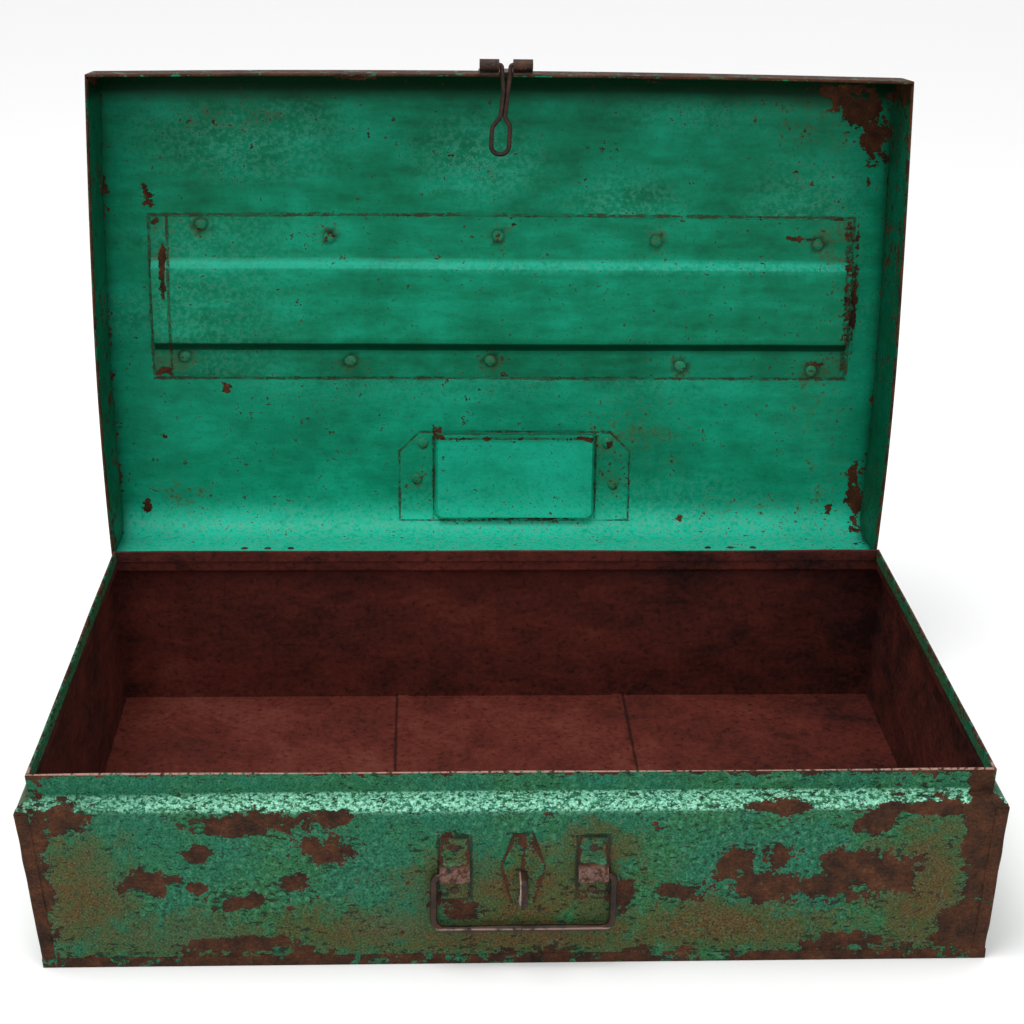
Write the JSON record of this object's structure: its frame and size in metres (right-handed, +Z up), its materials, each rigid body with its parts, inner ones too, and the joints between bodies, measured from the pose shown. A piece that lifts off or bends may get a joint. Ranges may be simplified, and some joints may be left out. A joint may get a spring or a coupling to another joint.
{
  "type": "steel trunk toolbox",
  "caption": "Low pressed-steel trunk toolbox with a deep hinged lid held open, a wire hasp, a staple and a drop handle; no tray inside.",
  "frame": {"origin": "under the floor's centre, on the surface that the box stands on", "axes": "+X to the right seen from the front, +Y to the hinges, +Z up"},
  "size_m": [0.5743, 0.4565, 0.4687],
  "materials": {
    "body_paint": "chipped green paint over rust",
    "lid_paint": "worn sea-green gloss paint",
    "inside_primer": "matt red oxide primer",
    "rusted_edge": "rusted folded edge",
    "dark_iron": "dark rusty iron"
  },
  "bodies": {
    "trunk": {"front_panel": "body_paint", "back_panel": "body_paint", "left_end_panel": "body_paint", "right_end_panel": "body_paint", "floor_left": "inside_primer", "floor_middle": "inside_primer", "floor_right": "inside_primer", "bottom_strip_front": "rusted_edge", "bottom_strip_back": "rusted_edge", "bottom_strip_left": "rusted_edge", "bottom_strip_right": "rusted_edge", "corner_strip_front_left": "rusted_edge", "corner_strip_back_left": "rusted_edge", "corner_strip_front_right": "rusted_edge", "corner_strip_back_right": "rusted_edge", "hinge_body_leaf_left": "dark_iron", "hinge_body_leaf_right": "dark_iron", "hinge_pin_left": "dark_iron", "hinge_pin_right": "dark_iron", "hinge_body_rivets": "body_paint", "staple_plate": "dark_iron", "staple": "dark_iron", "handle_bracket_left": "dark_iron", "handle_bracket_right": "dark_iron", "bracket_rivets": "body_paint"},
    "lid": {"lid_skin": "lid_paint", "lid_left_end": "lid_paint", "lid_right_end": "lid_paint", "lid_channel": "lid_paint", "channel_rivets": "lid_paint", "lid_pocket": "lid_paint", "pocket_rivets": "lid_paint", "hinge_lid_leaf_left": "dark_iron", "hinge_lid_leaf_right": "dark_iron", "hinge_lid_rivets": "lid_paint", "hasp_leaf": "dark_iron", "hasp_rivets": "dark_iron"},
    "hasp": {"hasp_loop": "dark_iron"},
    "bail": {"handle_bail": "dark_iron"}
  },
  "joints": [
    {"name": "lid_hinge", "type": "hinge", "parent": "trunk", "child": "lid", "pos_m": [0, 0.175, 0.1095], "axis": [1, 0, 0], "range_deg": [0, 96]},
    {"name": "hasp_swing", "type": "hinge", "parent": "lid", "child": "hasp", "pos_m": [0, 0.2062, 0.46469], "axis": [1, 0, 0], "range_deg": [-104, 0]},
    {"name": "bail_swing", "type": "hinge", "parent": "trunk", "child": "bail", "pos_m": [0.0019, -0.1747, 0.0625], "axis": [-1, 0, 0], "range_deg": [0, 140]}
  ],
  "couplings": [
    {"joint": "hasp_swing", "follows": "lid_hinge", "ratio": -1.0833}
  ]
}
